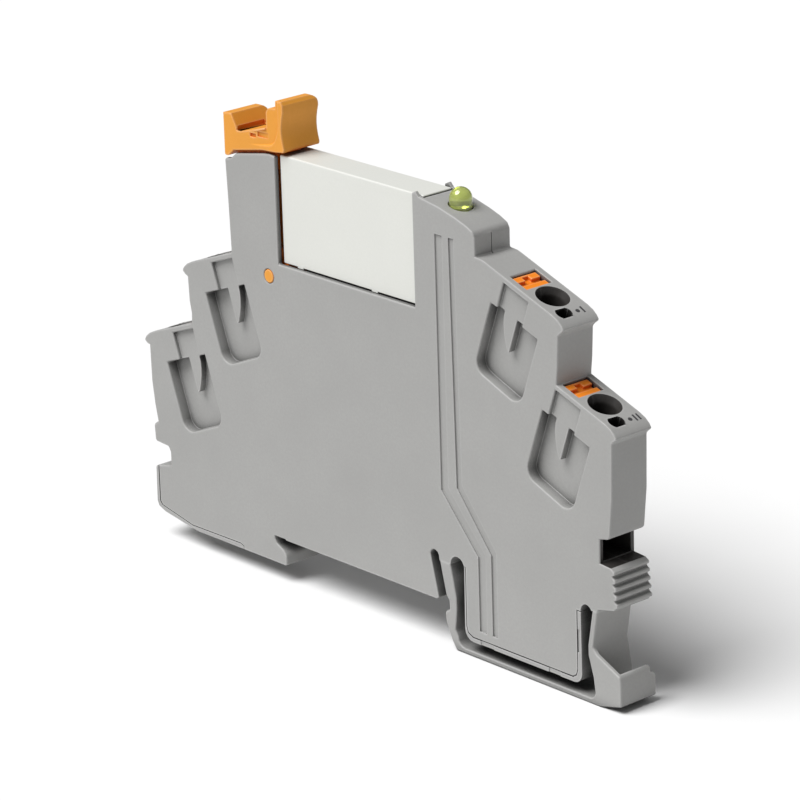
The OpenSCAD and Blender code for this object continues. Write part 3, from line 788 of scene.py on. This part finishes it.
def on_terrace(terminal, s, y, lift):
    """A point over a terrace, in millimetres, from its distance down the slope and its lift off it."""
    x, z, side = TERMINALS[terminal]
    rise = surface_height(s) + lift
    return (x + side * (s * math.cos(SLOPE) + rise * math.sin(SLOPE)), y,
            z - s * math.sin(SLOPE) + rise * math.cos(SLOPE))


def printed(name, terminal, outline):
    """A printed patch, an outline of (slope distance, y) points laid on a terrace."""
    points = [on_terrace(terminal, s, y, lift) for lift in (-0.04, 0.03) for s, y in outline]
    piece = solid_from(name, points, len(outline))
    dress(piece, "housing_grey", "ink")
    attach(piece, "housing")


def disc(s, y, radius, steps=20):
    """Outline of a round dot on a terrace."""
    return [(s + radius * math.cos(math.tau * i / steps), y + radius * math.sin(math.tau * i / steps))
            for i in range(steps)]


# A dot and one or two bars tell the terminals of each side apart
MARK_FROM, MARK_TO = 3.2, 4.3
BAR_WIDTH = 0.26
for key, bars in (("13", 1), ("14", 2), ("a1", 1), ("a2", 2)):
    printed("mark_%s_dot" % key, key, disc((MARK_FROM + MARK_TO) / 2, 0.85, 0.3))
    for i in range(bars):
        y = 1.55 + 0.6 * i
        printed("mark_%s_bar_%d" % (key, i + 1), key, rectangle(MARK_FROM, MARK_TO, y, y + BAR_WIDTH))


# ---------- carried-over nodes ----------

for entry in frame["record"]["subparts"]:
    node = frame["nodes"][entry["node"]]
    if not node.hide_render:
        dress(node, entry["material_slot"])


# ---------- stage ----------

def turned(azimuth, elevation):
    """Unit vector from the object to a place at that azimuth and elevation, in degrees."""
    a, e = math.radians(azimuth), math.radians(elevation)
    return Vector((math.sin(a) * math.cos(e), -math.cos(a) * math.cos(e), math.sin(e)))


def look_from(obj, place, aim, roll=0.0):
    """Puts a camera or a light at a place, turned to its aim and rolled by some degrees."""
    back = (place - aim).normalized()
    right = (-back).cross(Vector((0, 0, 1))).normalized()
    up = back.cross(right)
    c, s = math.cos(math.radians(roll)), math.sin(math.radians(roll))
    x_axis, y_axis = right * c - up * s, up * c + right * s
    obj.matrix_world = Matrix((
        (x_axis.x, y_axis.x, back.x, place.x),
        (x_axis.y, y_axis.y, back.y, place.y),
        (x_axis.z, y_axis.z, back.z, place.z),
        (0, 0, 0, 1)))


def add_camera():
    data = bpy.data.cameras.new("camera")
    data.lens = VIEW_LENS
    data.sensor_width = 36
    data.clip_start = 0.01
    camera = bpy.data.objects.new("camera", data)
    bpy.context.scene.collection.objects.link(camera)
    look_from(camera, VIEW_AIM + turned(VIEW_AZIMUTH, VIEW_ELEVATION) * VIEW_DISTANCE, VIEW_AIM, VIEW_ROLL)
    bpy.context.scene.camera = camera


def add_light(name, azimuth, elevation, spread, strength):
    """A far, wide softbox: even over the whole object, with shadow edges as soft as spread degrees."""
    data = bpy.data.lights.new(name, "SUN")
    data.angle = math.radians(spread)
    data.energy = strength
    light = bpy.data.objects.new(name, data)
    bpy.context.scene.collection.objects.link(light)
    look_from(light, VIEW_AIM + turned(azimuth, elevation), VIEW_AIM)


def add_floor():
    low = cad_bounds[0]
    reach = 4.0
    floor = new_object("floor", mesh_from(
        "floor",
        [(-reach, -reach, low[2]), (reach, -reach, low[2]), (reach, reach, low[2]), (-reach, reach, low[2])],
        [(0, 1, 2, 3)]))
    material, tree, shader, coords = shader_of("pale_floor")
    socket(shader, "Roughness", 0.8)
    socket(shader, "Specular IOR Level", 0.2)
    paper = noise(tree, coords, 30 * MM, 3)
    tree.links.new(blended(tree, ranged(tree, paper, 0, 1), (0.785, 0.785, 0.785), (0.8, 0.8, 0.8)),
                   shader.inputs["Base Color"])
    floor.data.materials.append(material)


# Even light from all round
FILL_STRENGTH = 0.22


def add_world():
    world = bpy.data.worlds.new("studio")
    world.use_nodes = True
    background = world.node_tree.nodes["Background"]
    background.inputs["Color"].default_value = (1, 1, 1, 1)
    background.inputs["Strength"].default_value = FILL_STRENGTH
    bpy.context.scene.world = world


add_camera()
add_light("key", azimuth=-20, elevation=60, spread=40, strength=3.95)
add_floor()
add_world()
bpy.context.scene.view_settings.view_transform = "Standard"
